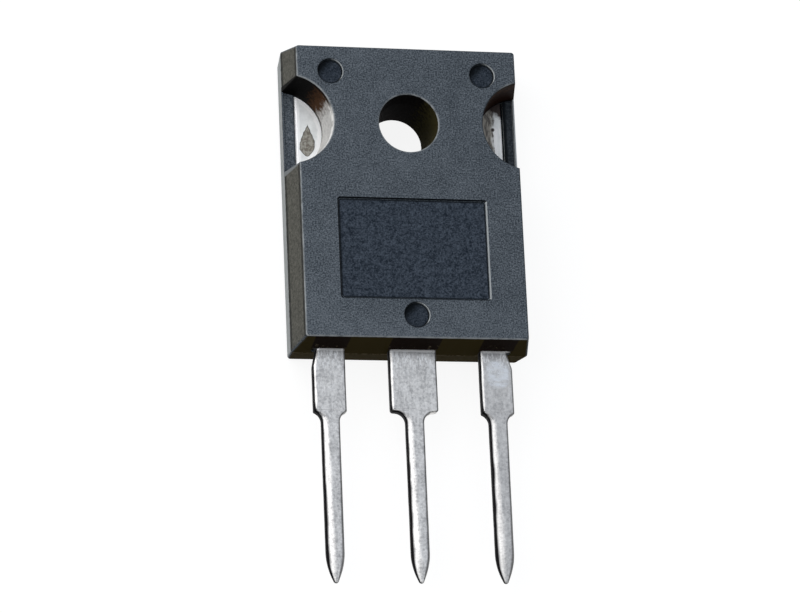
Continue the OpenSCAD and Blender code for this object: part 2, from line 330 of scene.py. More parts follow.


# label field and ejector marks are darker and more cloudy; painted shade darkens the ejector marks,
# most towards their upper left, and the label field's floor along its rim
def paintSunk(s, c, color):
    tree, x, y, z = s.tree, s.x, s.y, s.z
    sunk = s.facingUp * ramp(tree, z, *c["sunkBelow"]) * ramp(tree, z, *c["sunkAbove"])
    clouds = s.fine * 0.65 + s.fleck * 0.20 + s.patch * 0.15
    sunkColor = mixColor(tree, ramp(tree, clouds, 0.40, 0.62), c["sunkDark"], c["sunk"])
    inPins = shadedPins = 0
    for pinX, pinY in c["pins"]:
        away = ((x - pinX).squared() + (y - pinY).squared()).root()
        inPin = ramp(tree, away, c["pinR"] + 0.05, c["pinR"] + 0.02)
        shadow = ramp(tree, (y - pinY) - (x - pinX) + (s.fleck - 0.5) * 0.9, 0.2, 0.8)
        shadow = shadow.atLeast(ramp(tree, away, *c["pinShade"]))
        inPins = inPin + inPins
        shadedPins = inPin * (shadow * 0.75 + 0.25) + shadedPins
    sunkColor = mixColor(tree, shadedPins, sunkColor, c["paintedShade"])
    fromRim = (x.size() - c["labelHalf"]).atLeast(y - c["labelTop"]).atLeast(y * -1 + c["labelFoot"])
    rimShade = ramp(tree, fromRim, -0.22, -0.15) * 0.85 * (1 - inPins)
    sunkColor = mixColor(tree, rimShade, sunkColor, c["paintedShade"])
    return mixColor(tree, sunk, color, sunkColor), sunk, inPins


# the right notch's ledge gets a painted shadow, and a painted highlight along its outer edge
def paintLedge(s, c, color):
    tree, x, z = s.tree, s.x, s.z
    ledge = s.facingUp * ramp(tree, z, *c["ledgeBelow"]) * ramp(tree, z, *c["ledgeAbove"])
    shaded = ledge * x.above(0) * (0.6 + ramp(tree, x, *c["ledgeShade"]) * 0.35)
    color = mixColor(tree, shaded, color, c["paintedShade"])
    return mixColor(tree, ledge * ramp(tree, x, *c["lipX"]), color, c["edge"])


# sides: grey-brown, with lines of painted shade below the front edge and above the parting line, and a
# pale painted reflection beneath the parting line
def paintSides(s, c, color):
    tree, z = s.tree, s.z
    side = ramp(tree, s.nx.size(), 0.75, 0.95)
    grain = ramp(tree, s.fine * 0.4 + s.fleck * 0.45 + s.patch * 0.15, 0.40, 0.60)
    sideColor = mixColor(tree, grain, [v * 0.6 for v in c["side"]], [v * 1.4 for v in c["side"]])
    shadeLines = (ramp(tree, z, *c["lowLine"]) + ramp(tree, z, *c["highLine"])) * 0.85
    shadeLines = shadeLines * (0.6 + ramp(tree, s.patch, 0.4, 0.6) * 0.4)
    sideColor = mixColor(tree, shadeLines, sideColor, c["sideShadeLine"])
    color = mixColor(tree, side * 0.95, color, sideColor)
    rearSheen = side * ramp(tree, z + (s.patch - 0.5) * 0.12, c["partingZ"] + 0.05, c["partingZ"] - 0.01)
    return mixColor(tree, rearSheen, color, c["rearSideSheen"])


# lead end: painted shade in brown-black, darkest over each lead with light specks there, and a broken
# line of flash along the parting that is partly a painted highlight
def paintLeadEnd(s, c, color):
    tree, z = s.tree, s.z
    fromFoot = s.y - (z - c["partingZ"]).atLeast(0) * c["footLean"] - c["footY"]
    footShadeShare = ramp(tree, s.ny, -0.75, -0.95) * ramp(tree, fromFoot, 0.5, 0.4)
    color = mixColor(tree, footShadeShare * 0.97, color, c["foot"])
    shadeOverLeads = 0
    for leadX, width, *others in leads.values():
        fromLead = (s.x - leadX).size() - width / 2
        shadeOverLeads = ramp(tree, fromLead + (s.fleck - 0.5) * 0.1, 0.12, 0.04) + shadeOverLeads
    shadeOverLeads = shadeOverLeads * ramp(tree, z, c["leadTopZ"] - 0.02, c["leadTopZ"] + 0.02) * footShadeShare
    specks = ramp(tree, s.fleck, 0.62, 0.74) * ramp(tree, z, *c["specksBelow"])
    shadeOverColor = mixColor(tree, specks, c["shadeOverLead"], c["flashSheen"])
    color = mixColor(tree, shadeOverLeads, color, shadeOverColor)
    atParting = ramp(tree, (z - c["partingZ"]).size(), 0.09, 0.03)
    flashSheen = footShadeShare * atParting * ramp(tree, s.fleck, 0.42, 0.56)
    return mixColor(tree, flashSheen * 0.7, color, c["flashSheen"]), footShadeShare


# notch walls, painted shade and light: black where they face away from the window, red-brown part way
# round and high on the right notch, light where they face it; a painted highlight near the rim, lines
# of painted shade at the foot and below the rim, lighter at the low outer corner
def paintNotches(s, c, color):
    tree, x, y, z, ny, patch, fleck = s.tree, s.x, s.y, s.z, s.ny, s.patch, s.fleck
    fromNotch = ((x.size() - c["notchX"]).squared() + (y - c["notchY"]).squared()).root()
    inNotch = ramp(tree, fromNotch, c["notchR"] + 0.12, c["notchR"] + 0.04)
    inNotch = s.upright * inNotch * ramp(tree, z, *c["notchAbove"])
    leftwards = s.nx * -0.86 + ny * 0.5 + (patch - 0.5) * 0.3
    brown = ramp(tree, leftwards + (fleck - 0.5) * 0.5, 0.12, 0.36)
    upperBrown = ramp(tree, z + (patch - 0.5) * 2.5, *c["upperBrownZ"])
    upperBrown = upperBrown * ramp(tree, fleck, 0.35, 0.6)
    brown = brown.atLeast(upperBrown * x.above(0))
    notchColor = mixColor(tree, x.above(0), c["notchShade"], c["notchShadeRight"])
    fromSide = ramp(tree, x.size(), *c["awayFromSide"])
    notchColor = mixColor(tree, brown * fromSide.atLeast(x.above(0)), notchColor, c["notchBrown"])
    litShare = ramp(tree, fleck * 0.5 + patch * 0.5, 0.38, 0.60)
    litColor = mixColor(tree, litShare, [v * 0.74 for v in c["notchPaintedLight"]], c["notchPaintedLight"])
    rimHighlight = ramp(tree, z, *c["notchRimZ"]) * ramp(tree, patch, 0.35, 0.5)
    litColor = mixColor(tree, rimHighlight, litColor, c["notchRimHighlight"])
    lit = ramp(tree, leftwards + (fleck - 0.5) * 0.3, 0.46, 0.70) * fromSide
    notchColor = mixColor(tree, lit, notchColor, litColor)
    footShadeLine = ramp(tree, z, *c["notchFootLine"]) * ramp(tree, ny, 0.5, 0.0) * 0.8
    notchColor = mixColor(tree, footShadeLine, notchColor, c["notchShade"])
    rimShadeLine = ramp(tree, z, *c["notchRimLine"]) * ramp(tree, ny, -0.15, -0.4) * 0.8
    notchColor = mixColor(tree, rimShadeLine, notchColor, c["notchShade"])
    lowCorner = ramp(tree, x.size(), *c["lowCornerX"]) * ramp(tree, y, *c["lowCornerY"])
    notchColor = mixColor(tree, lowCorner * 0.6, notchColor, c["edge"])
    return mixColor(tree, inNotch, color, notchColor)


# painted shade: the hole's wall is near black, with brown specks on its right
def paintHole(s, c, color):
    tree = s.tree
    fromHole = (s.x.squared() + s.y.squared()).root()
    inHole = s.upright * ramp(tree, fromHole, c["holeR"] + 0.16, c["holeR"] + 0.08)
    speck = ramp(tree, s.nx * -1 + (s.fleck - 0.5) * 1.2, 0.5, 0.9)
    holeShadeColor = mixColor(tree, speck, c["holeShade"], c["holeSpeck"])
    return mixColor(tree, inHole, color, holeShadeColor), inHole, fromHole


# painted highlights on the front face's rounded edges and rims where they face left and towards the
# leads, painted shade on the rest; painted shade on the sunk walls, painted light on those facing the
# window, and a painted glint on the right notch's rim
def paintRims(s, c, color, inPins, fromHole):
    tree, x, y, nx, ny = s.tree, s.x, s.y, s.nx, s.ny
    inLabel = (ramp(tree, x.size(), c["labelHalf"] + 0.06, c["labelHalf"] + 0.04)
               * ramp(tree, y, c["labelTop"] + 0.06, c["labelTop"] + 0.04)
               * ramp(tree, y, c["labelFoot"] - 0.06, c["labelFoot"] - 0.04))
    rounded = ramp(tree, s.nz, 0.15, 0.3) * ramp(tree, s.nz, 0.985, 0.93)
    rounded = rounded * ramp(tree, s.z, c["topZ"] - 0.13, c["topZ"] - 0.09)
    atHole = ramp(tree, fromHole, c["holeR"] + 0.3, c["holeR"] + 0.25)
    towardsLight = ramp(tree, (nx + ny) * -1, -0.05, 0.3).atLeast(atHole * 0.8)
    outside = 1 - (inLabel + inPins).atMost(1)
    highlightPatches = 0.35 + ramp(tree, s.patch, 0.35, 0.6) * 0.65
    color = mixColor(tree, rounded * outside * (1 - towardsLight) * 0.7, color, c["faceDark"])
    edge = rounded * outside * towardsLight * highlightPatches
    color = mixColor(tree, edge * 0.9, color, c["edge"])
    wall = rounded * (1 - outside)
    color = mixColor(tree, wall, color, c["paintedShade"])
    litPins = ramp(tree, nx * -1 - ny * 0.3 + (s.fleck - 0.5) * 0.6, 0.25, 0.55)
    litWall = wall * (inLabel * ramp(tree, nx, -0.5, -0.7) + inPins * litPins)
    color = mixColor(tree, litWall, color, c["edge"])
    # a painted glint on the right notch's rim
    fromGlint = ((x - c["glint"][0]).squared() + (y - c["glint"][1]).squared()).root()
    glint = ramp(tree, fromGlint, *c["glintR"]) * ramp(tree, s.z, *c["glintAbove"])
    return mixColor(tree, glint, color, c["glintColor"]), edge


def mouldingMaterial(c):
    material, tree, shader = newMaterial("moulding compound")
    s = Surface(tree)
    s.fine = noise(tree, s.place, 1 / c["grainSize"], 2, 0.7)
    s.patch = noise(tree, s.place, 1.9, 3, 0.6)
    s.fleck = noise(tree, s.place, 4.5, 2, 0.6)
    s.upright = ramp(tree, s.nz.size(), 0.7, 0.45)
    s.facingUp = ramp(tree, s.nz, 0.85, 0.95)
    color, sunk, inPins = paintSunk(s, c, paintFace(s, c))
    color = paintSides(s, c, paintLedge(s, c, color))
    color, footShadeShare = paintLeadEnd(s, c, color)
    color, inHole, fromHole = paintHole(s, c, paintNotches(s, c, color))
    color, edge = paintRims(s, c, color, inPins, fromHole)
    rough = ramp(tree, s.fine, 0.3, 0.7) * 0.16 + (c["roughness"] - 0.08)
    rough = rough - sunk * 0.06 + inHole * 0.28 + footShadeShare * 0.25 - edge * 0.2
    setShader(tree, shader, Base_Color=color, Roughness=rough.within(0.2, 0.95),
              Specular_IOR_Level=c["specular"])
    addBump(tree, shader, s.fine * 0.7 + noise(tree, s.place, 13, 2) * 0.3, 0.5, 0.02 * mm)
    return material


tin = {
    "color": (0.645, 0.635, 0.625),
    "dull": (0.40, 0.395, 0.395),
    "bright": (0.88, 0.87, 0.86),
    "fresh": (0.74, 0.76, 0.79),  # a scratched, lighter place on the source lead
    "freshFrom": (4.75, -17.1),
    "freshTo": (6.30, -15.25),
    "bareAndHighlight": (1.0, 1.0, 1.0),  # bare metal in nicks, and a painted highlight where a lead leaves the moulding
    # painted dark reflection on the leads' steep sides
    "darkSideReflection": (0.010, 0.010, 0.011),
    "roughness": 0.30,
    "rootY": -14.75,
    "pitch": 5.45,
    # the pairs below say where a look starts and where it is complete, in millimetres
    "dullX": (2, 3),
    "nickedY": (-16.6, -15.2),
    "rootHighlight": (0.05, 0.01),
    "underLineEnd": (0.18, 0.12),
    "underLineStart": (0.03, 0.08),
}


def tinMaterial(c):
    material, tree, shader = newMaterial("tinned copper")
    s = Surface(tree)
    place, x, y, nz = s.place, s.x, s.y, s.nz
    cloud = noise(tree, place, 1.1, 3)
    grain = noise(tree, place, 6.5, 3, 0.65)
    streak = noise(tree, place, 3.2, 3, 0.6, stretch=(1.6, 0.3, 1))
    mottle = grain * 0.55 + streak * 0.3 + cloud * 0.15
    color = mixColor(tree, ramp(tree, mottle, 0.38, 0.50), c["dull"], c["color"])
    color = mixColor(tree, ramp(tree, mottle, 0.50, 0.66), color, c["bright"])

    # the source lead is duller, and all three are nicked near the moulding
    color = mixColor(tree, ramp(tree, x, *c["dullX"]) * 0.35, color, c["dull"])
    nicks = ramp(tree, noise(tree, place, 3.5, 2, 0.6, stretch=(2.4, 0.8, 1)), 0.50, 0.58)
    nicks = nicks * ramp(tree, y, *c["nickedY"])
    color = mixColor(tree, nicks * 0.7, color, c["bareAndHighlight"])

    # fresh scratches on the source lead's front, a duller band just below each lead's root, and a
    # painted highlight where each lead leaves the moulding
    wander = (cloud - 0.5) * 1.0 + (grain - 0.5) * 0.8
    middleX = (c["freshFrom"][0] + c["freshTo"][0]) / 2
    middleY = (c["freshFrom"][1] + c["freshTo"][1]) / 2
    freshX = (x - middleX).size() / (c["freshTo"][0] - middleX)
    freshY = (y - middleY).size() / (c["freshTo"][1] - middleY)
    fresh = ramp(tree, (freshX.op("POWER", 3) + freshY.op("POWER", 3)) + wander, 1.15, 0.55)
    fresh = fresh * x.above(0) * nz.above(0)
    scratch = ramp(tree, noise(tree, place, 2.0, 3, 0.6, stretch=(0.7, 2.2, 1)), 0.42, 0.60)
    color = mixColor(tree, fresh * (0.3 + scratch * 0.7), color, c["fresh"])
    down = y * -1 + c["rootY"]
    rootHighlight = ramp(tree, down + (grain - 0.5) * 0.06, *c["rootHighlight"])
    underLine = ramp(tree, down, *c["underLineEnd"]) * ramp(tree, down, *c["underLineStart"])
    underLine = underLine * ramp(tree, cloud, 0.4, 0.6)
    color = mixColor(tree, underLine * 0.6, color, c["dull"])
    color = mixColor(tree, rootHighlight, color, c["bareAndHighlight"])

    # painted dark reflection on the steep sides, most of all on the left and round the left shoulders
    leftHalf = ramp(tree, x - (x / c["pitch"]).op("ROUND") * c["pitch"], 0.1, -0.1)
    facing = ramp(tree, s.nx.size(), 0.3, 0.45) * (leftHalf * 0.45 + 0.55)
    facing = facing.atLeast(ramp(tree, s.ny, -0.3, -0.5) * leftHalf)
    darkSideReflection = ramp(tree, nz.size(), 0.93, 0.86) * facing
    color = mixColor(tree, darkSideReflection, color, c["darkSideReflection"])
    rough = ramp(tree, grain, 0.3, 0.7) * 0.12 + c["roughness"] + darkSideReflection * 0.3 - fresh * 0.06
    setShader(tree, shader, Base_Color=color, Metallic=1 - rootHighlight * 0.5, Roughness=rough)
    addBump(tree, shader, grain * 0.7 + scratch * fresh * 0.6, 0.3, 0.01 * mm)
    return material


plating = {
    "color": (0.95, 0.97, 0.97),
    "bright": (1.0, 1.0, 1.0),  # painted highlight along the left notch's curve, the tab's edges and the right notch's strip
    "back": (0.76, 0.76, 0.75),
    "backDark": (0.62, 0.62, 0.61),
    "shade": (0.020, 0.008, 0.005),
    "brownBand": (0.36, 0.33, 0.28),  # a mottled brown band beside the right notch's rim
    "brownBandDark": (0.06, 0.045, 0.035),
    "dropPatch": (0.34, 0.33, 0.29),
    "dropPatchDark": (0.16, 0.14, 0.115),
    "dropPatchEdge": (0.035, 0.030, 0.026),
    "roughness": 0.35,
    "film": 0.8,  # a thin film of resin takes this share of the metal's shine in the notches
    "notchX": moulding["notchX"],  # places and sizes in millimetres, as for the moulding
    "notchY": moulding["notchY"],
    "wallR": 2.73,
    "dropTop": (-6.07, 0.76),  # the drop-shaped grey patch in the left notch
    "dropLength": 2.25,
    "dropHalf": 0.5,
    "dropPeak": 0.271,  # about the greatest value of the drop's formula
    "pitPlace": (6.28, 0.73),
    "brightStripMiddle": 6.64,
    "underTurn": 6.3,
    # the pairs below say where a look starts and where it is complete
    "frontZ": (1.8, 1.9),
    "tabEdgeX": (6.56, 6.62),
    "brightStripX": (6.28, 6.36),
    "brightStripY": (1.0, 0.7),
    "brownBandX": (6.42, 6.2),
    "underY": (1.75, 2.1),
}


def platingMaterial(c):
    material, tree, shader = newMaterial("plated tab")
    place = objectPlace(tree)
    x, y, z = splitVector(tree, place)
    cloud = noise(tree, place, 1.6, 4, 0.6)
    fleck = noise(tree, place, 4.5, 3, 0.6)
    front = ramp(tree, z, *c["frontZ"])  # what shows in the notches; the back is plain
    left = x.below(0) * front
    right = x.above(0) * front
    brushed = noise(tree, place, 2.2, 3, 0.6, stretch=(0.3, 2.2, 1))
    backShare = ramp(tree, brushed * 0.6 + cloud * 0.4, 0.35, 0.65)
    backColor = mixColor(tree, backShare, c["backDark"], c["back"])
    frontColor = mixColor(tree, ramp(tree, cloud, 0.3, 0.7), [v * 0.80 for v in c["color"]], c["color"])
    color = mixColor(tree, front, backColor, frontColor)

    # left notch: painted highlight along its curve and along the tab's edge, with a drop-shaped grey
    # patch
    fromAxis = ((x.size() - c["notchX"]).squared() + (y - c["notchY"]).squared()).root()
    rim = ramp(tree, fromAxis + (cloud - 0.5) * 0.25, c["wallR"] - 0.32, c["wallR"] - 0.22)
    tabEdge = ramp(tree, x.size() + (fleck - 0.5) * 0.1, *c["tabEdgeX"])
    color = mixColor(tree, rim.atLeast(tabEdge) * left, color, c["bright"])
    down = ((y * -1 + c["dropTop"][1]) / c["dropLength"]).within(0, 1)
    half = down.op("POWER", 1.3) * (1 - down).op("POWER", 0.7) * (c["dropHalf"] / c["dropPeak"])
    wobble = (noise(tree, place, 3.4, 2) - 0.5) * 0.2
    inside = half - (x - c["dropTop"][0] + down * 0.10 + wobble).size()
    dropPatchColor = mixColor(tree, ramp(tree, fleck, 0.42, 0.58), c["dropPatchDark"], c["dropPatch"])
    dropPatchColor = mixColor(tree, ramp(tree, inside, 0.075, 0.04), dropPatchColor, c["dropPatchEdge"])
    color = mixColor(tree, ramp(tree, inside, 0.0, 0.03) * left, color, dropPatchColor)

    # right notch: painted shadow of its upper wall, a mottled brown band beside the rim, a painted
    # highlight along the tab's edge, and painted shade in a small pit
    streakNoise = noise(tree, place, 2.4, 3, 0.6, stretch=(2.6, 0.8, 1))
    brightStrip = ramp(tree, x + (streakNoise - 0.5) * 0.5, *c["brightStripX"])
    brightStrip = brightStrip * ramp(tree, y + (cloud - 0.5) * 0.4, *c["brightStripY"])
    middle = ramp(tree, (x - c["brightStripMiddle"] + (streakNoise - 0.5) * 0.2).size(), 0.13, 0.06)
    color = mixColor(tree, brightStrip * right * (1 - middle * 0.8), color, c["bright"])
    brownBand = (1 - brightStrip) * ramp(tree, x + (streakNoise - 0.5) * 0.9, *c["brownBandX"])
    brownBandColor = mixColor(tree, ramp(tree, streakNoise, 0.42, 0.56), c["brownBandDark"], c["brownBand"])
    color = mixColor(tree, brownBand * right * 0.9, color, brownBandColor)
    fromPit = ((x - c["pitPlace"][0]).squared() + (y - c["pitPlace"][1]).squared()).root()
    # painted shade in a small pit
    pit = ramp(tree, fromPit + (fleck - 0.5) * 0.1, 0.15, 0.08) * front
    color = mixColor(tree, pit, color, c["shade"])
    # painted shadow of the right notch's upper wall
    wallShadow = ramp(tree, y + (x - c["underTurn"]) * 0.7 + (fleck - 0.5) * 0.5, *c["underY"])
    color = mixColor(tree, wallShadow * right, color, c["shade"])
    rough = ramp(tree, cloud, 0.3, 0.7) * 0.1 + c["roughness"] + brownBand * right * 0.25
    setShader(tree, shader, Base_Color=color, Metallic=1 - front * c["film"], Roughness=rough)
    addBump(tree, shader, cloud, 0.2, 0.02 * mm)
    return material


inner = {
    # name: (first colour, second colour, metallic, roughness, grain size in mm)
    "silicon": ((0.10, 0.11, 0.13), (0.16, 0.17, 0.20), 0.6, 0.25, 0.5),
    "solder": ((0.42, 0.42, 0.43), (0.58, 0.58, 0.60), 1.0, 0.45, 0.25),
    "drawn wire": ((0.70, 0.70, 0.71), (0.84, 0.84, 0.85), 1.0, 0.3, 0.08),
}


def innerMaterial(name, first, second, metallic, roughness, grainSize):
    material, tree, shader = newMaterial(name)
    grain = noise(tree, objectPlace(tree), 1 / grainSize, 3)
    share = ramp(tree, grain, 0.3, 0.7)
    setShader(tree, shader, Base_Color=mixColor(tree, share, first, second),
              Metallic=metallic, Roughness=share * 0.1 + roughness)
    addBump(tree, shader, grain, 0.3, 0.01 * mm)
    return material


def useMaterial(obj, material):
    if obj.material_slots:
        for s in obj.material_slots:
            s.material = material
    else:
        obj.data.materials.append(material)


finishes = {name: innerMaterial(name, *settings) for name, settings in inner.items()}
finishes["moulding"] = mouldingMaterial(moulding)
finishes["tin"] = tinMaterial(tin)
finishes["plating"] = platingMaterial(plating)
nodeFinishes = {"moulded_body": "moulding", "silicon_die": "silicon", "die_solder": "solder"}
for name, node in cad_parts.items():
    useMaterial(node, finishes[nodeFinishes.get(name, "drawn wire")])
print("stage: materials")


# leads: one tree draws a dipped lead from its sizes, in millimetres. Along the grid's first
# direction run the stations of the lead, along its second the points round each section.
leadSizes = {
    "wideWidth": 2.1,
    "slimWidth": 1.15,
    "thickness": 0.6,
    "backHeight": 2.4,
    "startDown": 14.0,  # inside the moulding, where the lead joins its root
    "footDown": 14.75,  # where it leaves the moulding
    "wideLength": 3.98,
    "leadLength": 15.05,
    "filletRadius": 0.7,
    "cornerRadius": 0.2,
    "tipLength": 2.0,
    "tipWidth": 0.2,
    "tipThickness": 0.16,
    "endLength": 0.09,
    "pinchLeft": 0.0,  # how much narrower the lead is where it leaves the moulding
    "pinchRight": 0.0,
    "pinchLength": 1.05,
    "exitInside": 0.13,  # the pinch starts this far inside, behind the moulding's leaning face
    "edgeWander": 0.3,
    "burrAcross": 0.08,  # the sharper lower edges
    "burrHigh": 0.04,
    "edgeFlatness": 1.45,
    "flatMargin": 0.04,
    "insideSlack": 0.01,  # inside the moulding the lead is slimmer than its root by this on each side
    "ripple": 0.012,
    "rippleSize": 1.3,
    "shoulderStart": 0.3,  # the stations are closer from this far above the shoulder
}
# rolled upper edges, width and height: beside the moulding, below the shoulder, near the tip
leadEdges = {
    "left": ((0.22, 0.10), (0.42, 0.17), (0.66, 0.27)),
    "right": ((0.12, 0.09), (0.12, 0.09), (0.22, 0.16)),
}
leadSteps = {"root": 3, "exit": 1, "wide": 24, "shoulder": 64, "slim": 48, "tip": 40, "corner": 9}
rootCut = 14.2  # roots are cut here, inside the moulding
mergeWithin = 0.0002  # points of a lead this near become one
rootMergeWithin = 0.0005
farOut = 10  # wider than any lead, so that the other curve counts


# how far a station lies from the mounting hole: the stations are close where the shape changes
def stationDown(tree, g, station, marks):
    step = g["footDown"] + g["wideLength"]
    end = g["footDown"] + g["leadLength"]
    footInside = g["footDown"] - g["exitInside"]
    stops = [g["startDown"], footInside - 0.01, footInside, step - g["shoulderStart"],
             step + g["filletRadius"] + 0.07, end - g["tipLength"], end]
    share = [ramp(tree, station, low, high) for low, high in zip(marks, marks[1:])]
    share[-1] = 1 - (1 - share[-1]).squared()
    down = stops[0]
    for low, high, part in zip(stops, stops[1:], share):
        down = down + part * (high - low)
    return down


def taperAt(g, down):
    toEnd = g["footDown"] + g["leadLength"] - down
    return (1 - (toEnd / g["tipLength"]).within(0, 1)).squared()


# half the width there: wide part with rounded corners, shoulder fillet, slender part, tip
def halfAt(g, down):
    cornerRound = g["cornerRadius"]
    fillet = g["filletRadius"]
    over = (fillet - (g["wideWidth"] - g["slimWidth"]) / 2 + cornerRound).within(0, fillet)
    drop = fillet - (fillet.squared() - over.squared()).root()
    below = down - (g["footDown"] + g["wideLength"])
    convex = g["wideWidth"] / 2 - cornerRound + (
        cornerRound.squared() - (below - drop + cornerRound).within(0, cornerRound).squared()).root()
    hollow = g["slimWidth"] / 2 + fillet - (
        fillet.squared() - (fillet - below).within(0, fillet).squared()).root()
    half = convex.atMost(hollow + below.below(0) * farOut)
    taper = taperAt(g, down)
    narrow = (g["slimWidth"] - (g["slimWidth"] - g["tipWidth"]) * taper) / 2
    return half.atMost(narrow + taper.below(0.00001) * farOut)


# how wide and how high each edge of a section is rolled: upper edges by the rows, lower ones as burrs
def rolledEdges(tree, g, edges, down, half, high, sideX, upper):
    below = down - (g["footDown"] + g["wideLength"])
    toEnd = g["footDown"] + g["leadLength"] - down
    fillet = g["filletRadius"]
    slim = ramp(tree, below, g["shoulderStart"] * -1, fillet)
    late = ramp(tree, toEnd, g["leadLength"] - g["wideLength"] - fillet, 1.2)
    wander = tree.nodes.new("ShaderNodeTexNoise")
    wander.inputs["Scale"].default_value = 1
    wanderPlace = joinVector(tree, sideX * 3, down / g["rippleSize"], g["centreX"] + 7)
    plug(tree, wanderPlace, wander.inputs["Vector"])
    roll = 1 + (Num(tree, wander.outputs[0]) - 0.5) * g["edgeWander"] * 2
    size = {}
    for side, rows in edges.items():
        for i in (0, 1):
            first, second, third = (row[i] for row in rows)
            size[side, i] = first + slim * (second - first) + late * (third - second)
    rightShare = (1 + sideX) / 2
    rolled = (size["left", 0] + (size["right", 0] - size["left", 0]) * rightShare) * roll
    rolled = rolled.atMost(half * (1.3 - rightShare * 0.85))
    across = (rolled * upper + g["burrAcross"] * (1 - upper)).atMost(half * 1.3)
    atCorner = ramp(tree, below, -0.6, -0.25) * ramp(tree, below, fillet * 0.7, fillet * 0.2)
    across = across + (across.atMost(g["cornerRadius"] * 0.85) - across) * atCorner
    deep = size["left", 1] + (size["right", 1] - size["left", 1]) * rightShare
    upward = (deep * upper + g["burrHigh"] * (1 - upper)).atMost(high * 0.9)
    return across, upward


# a low ripple of the dipped surface, which closes round the section
def rippleAt(tree, g, down, angle):
    wave = tree.nodes.new("ShaderNodeTexNoise")
    wave.inputs["Scale"].default_value = 1
    wavePlace = joinVector(tree, angle.op("COSINE") * 0.5, down / g["rippleSize"],
                           angle.op("SINE") * 0.5 + g["centreX"])
    plug(tree, wavePlace, wave.inputs["Vector"])
    swell = (Num(tree, wave.outputs[0]) - 0.5) * g["ripple"]
    return swell * ramp(tree, down, g["footDown"], g["footDown"] + 0.5)


def leadTree(sizes, edges, steps):
    tree = bpy.data.node_groups.new("dipped lead", "GeometryNodeTree")
    tree.is_modifier = True
    tree.interface.new_socket("Geometry", in_out="OUTPUT", socket_type="NodeSocketGeometry")
    tree.interface.new_socket("centreX", in_out="INPUT", socket_type="NodeSocketFloat")
    for name, value in sizes.items():
        socket = tree.interface.new_socket(name, in_out="INPUT", socket_type="NodeSocketFloat")
        socket.default_value = value
    tree.interface.new_socket("finish", in_out="INPUT", socket_type="NodeSocketMaterial")
    given = tree.nodes.new("NodeGroupInput")
    g = {s.name: Num(tree, s) for s in given.outputs if s.name}

    corner = steps["corner"]
    around = 4 * (corner + 1)
    marks = [1]
    for part in ("root", "exit", "wide", "shoulder", "slim", "tip"):
        marks.append(marks[-1] + steps[part])
    grid = tree.nodes.new("GeometryNodeMeshGrid")
    grid.inputs["Vertices X"].default_value = marks[-1] + 1
    grid.inputs["Vertices Y"].default_value = around + 1
    here = splitVector(tree, tree.nodes.new("GeometryNodeInputPosition").outputs[0])
    station = ((here[0] + 0.5) * marks[-1] + 0.5).op("FLOOR")
    point = ((here[1] + 0.5) * around + 0.5).op("FLOOR")

    # half width and half thickness, which close to nothing at both ends
    down = stationDown(tree, g, station, marks)
    half = halfAt(g, down)
    slope = (halfAt(g, down + 0.01) - halfAt(g, down - 0.01)) / 0.02
    slant = (slope.squared() + 1).root()
    high = (g["thickness"] - (g["thickness"] - g["tipThickness"]) * taperAt(g, down)) / 2
    toEnd = g["footDown"] + g["leadLength"] - down
    closing = (1 - (1 - (toEnd / g["endLength"]).within(0, 1)).squared()).root()
    closing = closing * station.atMost(1)
    outside = down.above(g["footDown"] - g["exitInside"] - 0.005)
    half = (half - g["insideSlack"] * (1 - outside)) * closing
    high = (high - g["insideSlack"] * (1 - outside)) * closing

    # the section: four rolled edges joined by flats
    quarter = (point / (corner + 1)).op("FLOOR").op("MODULO", 4)
    odd = quarter.op("MODULO", 2)
    place = point.op("MODULO", corner + 1)
    angle = (quarter + (place - odd).within(0, corner - 1) / (corner - 1)) * (math.pi / 2)
    onFlat = place.above(corner - 0.5) * (1 - odd) + place.below(0.5) * odd
    sideX = 1 - quarter.above(0.5) * quarter.below(2.5) * 2
    sideZ = 1 - quarter.above(1.5) * 2
    upper = 1 - quarter.above(1.5)
    across, upward = rolledEdges(tree, g, edges, down, half, high, sideX, upper)
    pinchShare = 1 - ramp(tree, down, g["footDown"], g["footDown"] + g["pinchLength"])
    pinch = g["pinchLeft"] * (1 - sideX) / 2 + g["pinchRight"] * (1 + sideX) / 2
    half = half - pinch * pinchShare * outside * closing
    swell = rippleAt(tree, g, down, angle) * closing * 2
    bent = {}  # a flatter curve than an ellipse, near a bevel
    for name in ("COSINE", "SINE"):
        value = angle.op(name)
        bent[name] = value.size().op("POWER", g["edgeFlatness"]) * (value.above(0) * 2 - 1)
    inset = across * (1 - bent["COSINE"].size()) + onFlat * (half * 0.1).atMost(g["flatMargin"])
    placeX = g["centreX"] + sideX * (half - inset / slant) + swell * bent["COSINE"]
    placeY = (down + inset * slope / slant) * -1
    placeZ = g["backHeight"] + g["thickness"] / 2 + sideZ * (high - upward)
    placeZ = placeZ + (upward + swell) * bent["SINE"]

    move = tree.nodes.new("GeometryNodeSetPosition")
    tree.links.new(grid.outputs["Mesh"], move.inputs["Geometry"])
    plug(tree, joinVector(tree, placeX, placeY, placeZ), move.inputs["Position"])
    merge = tree.nodes.new("GeometryNodeMergeByDistance")
    merge.inputs["Distance"].default_value = mergeWithin
    shade = tree.nodes.new("GeometryNodeSetShadeSmooth")
    realize = tree.nodes.new("GeometryNodeRealizeInstances")
    paint = tree.nodes.new("GeometryNodeSetMaterial")
    result = tree.nodes.new("NodeGroupOutput")
    chain = [move, merge, shade, realize, paint, result]
    for first, second in zip(chain, chain[1:]):
        tree.links.new(first.outputs[0], second.inputs[0])
    tree.links.new(g["finish"].socket, paint.inputs["Material"])
    return tree


def setInput(modifier, name, value):
    for item in modifier.node_group.interface.items_tree:
        if item.in_out == "INPUT" and item.name == name:
            modifier[item.identifier] = value


def evaluatedMesh(obj):
    return bpy.data.meshes.new_from_object(obj.evaluated_get(bpy.context.evaluated_depsgraph_get()))


